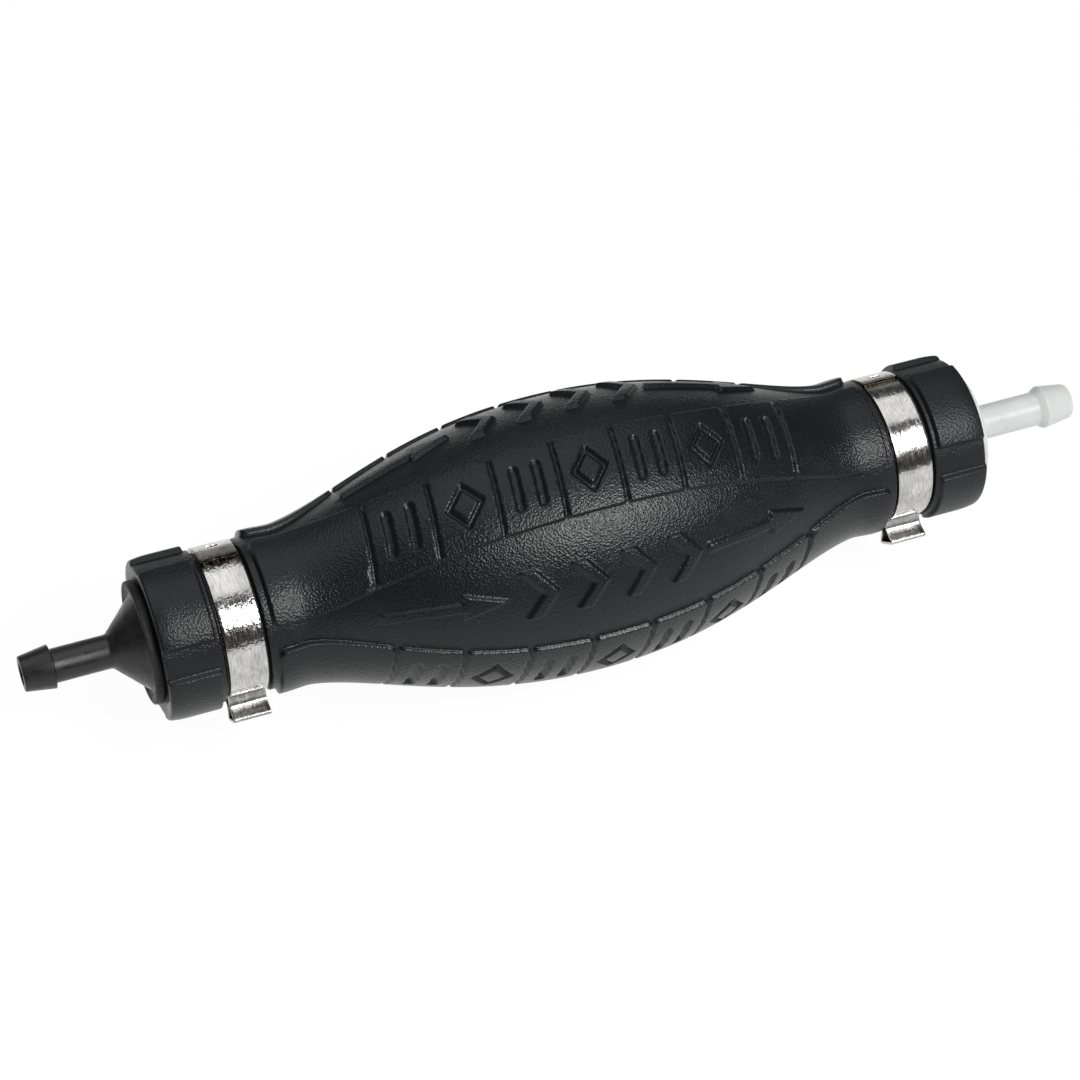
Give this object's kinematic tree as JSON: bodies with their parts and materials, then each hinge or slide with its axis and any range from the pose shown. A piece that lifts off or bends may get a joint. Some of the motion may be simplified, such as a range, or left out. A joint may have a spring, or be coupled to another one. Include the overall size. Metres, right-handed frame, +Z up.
{
  "type": "siphon bulb pump",
  "caption": "Hand squeeze bulb pump for fuel or water: a ribbed rubber bulb with a hose barb fitting, a band clamp and a sprung check valve in each end.",
  "frame": {"origin": "on the pump's axis, midway between the two hose tips", "axes": "+X along the pump's axis in the direction of flow, from the black inlet to the white outlet; +Z up as it lies; +Y to the back"},
  "size_m": [0.2076, 0.0524, 0.0524],
  "materials": {
    "bulb_rubber": "fine pebbled matt grain with polished raised edges",
    "black_nylon": "moulded, semi-gloss",
    "natural_nylon": "natural translucent white, satin",
    "stainless_band": "brushed round the band",
    "valve_acetal": "off-white moulded acetal",
    "seal_rubber": "smooth moulded nitrile",
    "spring_steel": "drawn stainless wire"
  },
  "bodies": {
    "pump_body": {"squeeze_bulb": "bulb_rubber", "inlet_fitting": "black_nylon", "outlet_fitting": "natural_nylon", "inlet_clamp": "stainless_band", "outlet_clamp": "stainless_band", "inlet_valve_seat": "valve_acetal", "inlet_seat_oring": "seal_rubber", "inlet_spring": "spring_steel", "inlet_retainer": "valve_acetal", "outlet_valve_seat": "valve_acetal", "outlet_seat_oring": "seal_rubber", "outlet_spring": "spring_steel", "outlet_retainer": "valve_acetal"},
    "inlet_poppet": {"inlet_poppet": "valve_acetal", "inlet_poppet_seal": "seal_rubber"},
    "outlet_poppet": {"outlet_poppet": "valve_acetal", "outlet_poppet_seal": "seal_rubber"}
  },
  "joints": [
    {"name": "inlet_valve_lift", "type": "slide", "parent": "pump_body", "child": "inlet_poppet", "axis": [1, 0, 0], "range_m": [0, 0.0022], "stiffness_N_per_m": 40, "springref_m": -0.0015, "deforming": ["inlet_spring"]},
    {"name": "outlet_valve_lift", "type": "slide", "parent": "pump_body", "child": "outlet_poppet", "axis": [1, 0, 0], "range_m": [0, 0.0022], "stiffness_N_per_m": 40, "springref_m": -0.0015, "deforming": ["outlet_spring"]}
  ]
}
